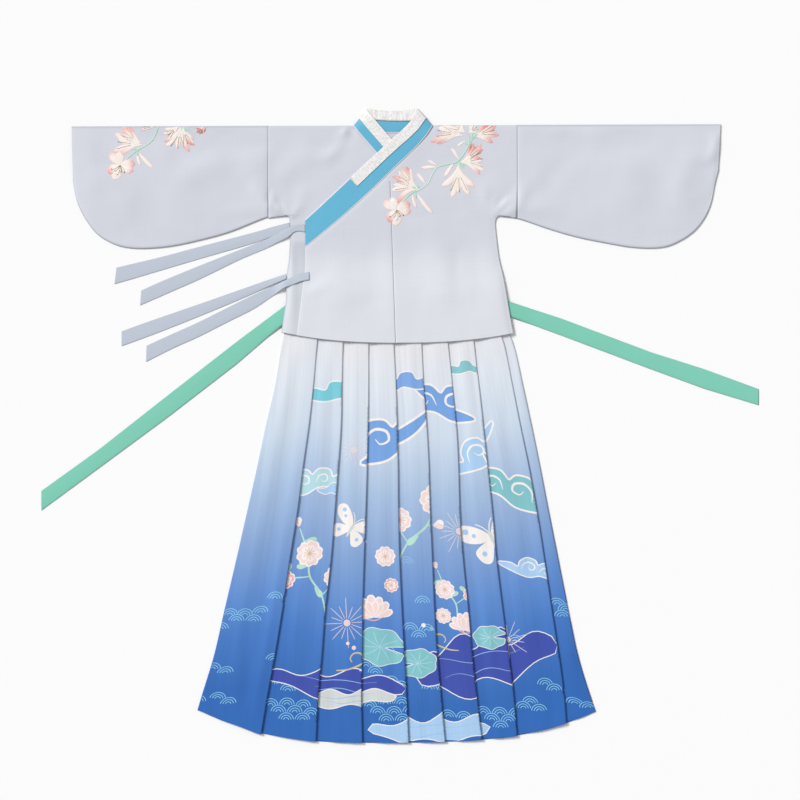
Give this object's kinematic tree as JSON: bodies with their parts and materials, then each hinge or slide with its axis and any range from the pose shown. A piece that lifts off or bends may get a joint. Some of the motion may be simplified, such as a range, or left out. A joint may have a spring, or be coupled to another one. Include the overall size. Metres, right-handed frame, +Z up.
{
  "type": "hanfu set laid flat: cross-collar jacket and pleated wrap skirt",
  "caption": "Flat-laid hanfu set: wide-sleeved cross-collar jacket with side ties over a knife-pleated wrap skirt with waist ties.",
  "frame": {"origin": "middle of the set's outline, on the surface that it lies on", "axes": "+X to the right seen from above, towards the longer waist tie; +Y towards the collar; +Z up, away from the surface"},
  "size_m": [1.651, 1.4592, 0.0101],
  "materials": {
    "jacket_cloth": "pale lavender-grey plain weave with a soft matt face",
    "collar_band_cloth": "sky-blue satin-weave collar band with a thin pale edge line",
    "collar_guard_cloth": "off-white jacquard strip with a low sheen",
    "side_tie_cloth": "grey-blue plain weave tape",
    "waist_tie_cloth": "mint-green tape with a low sheen",
    "skirt_cloth": "light chiffon-like weave, dyed from near-white at the waist to strong blue at the hem, printed"
  },
  "bodies": {
    "root": {"body_left": "jacket_cloth", "body_right": "jacket_cloth", "overlap_front": "jacket_cloth", "sleeve_left": "jacket_cloth", "sleeve_right": "jacket_cloth", "collar_band": "collar_band_cloth", "collar_guard": "collar_guard_cloth", "collar_guard_leaf": "collar_guard_cloth", "side_tie_1": "side_tie_cloth", "side_tie_2": "side_tie_cloth", "side_tie_3": "side_tie_cloth", "side_tie_4": "side_tie_cloth", "skirt_cloth": "skirt_cloth", "skirt_waistband": "waist_tie_cloth", "waist_tie_left": "waist_tie_cloth", "waist_tie_right": "waist_tie_cloth"}
  },
  "joints": []
}
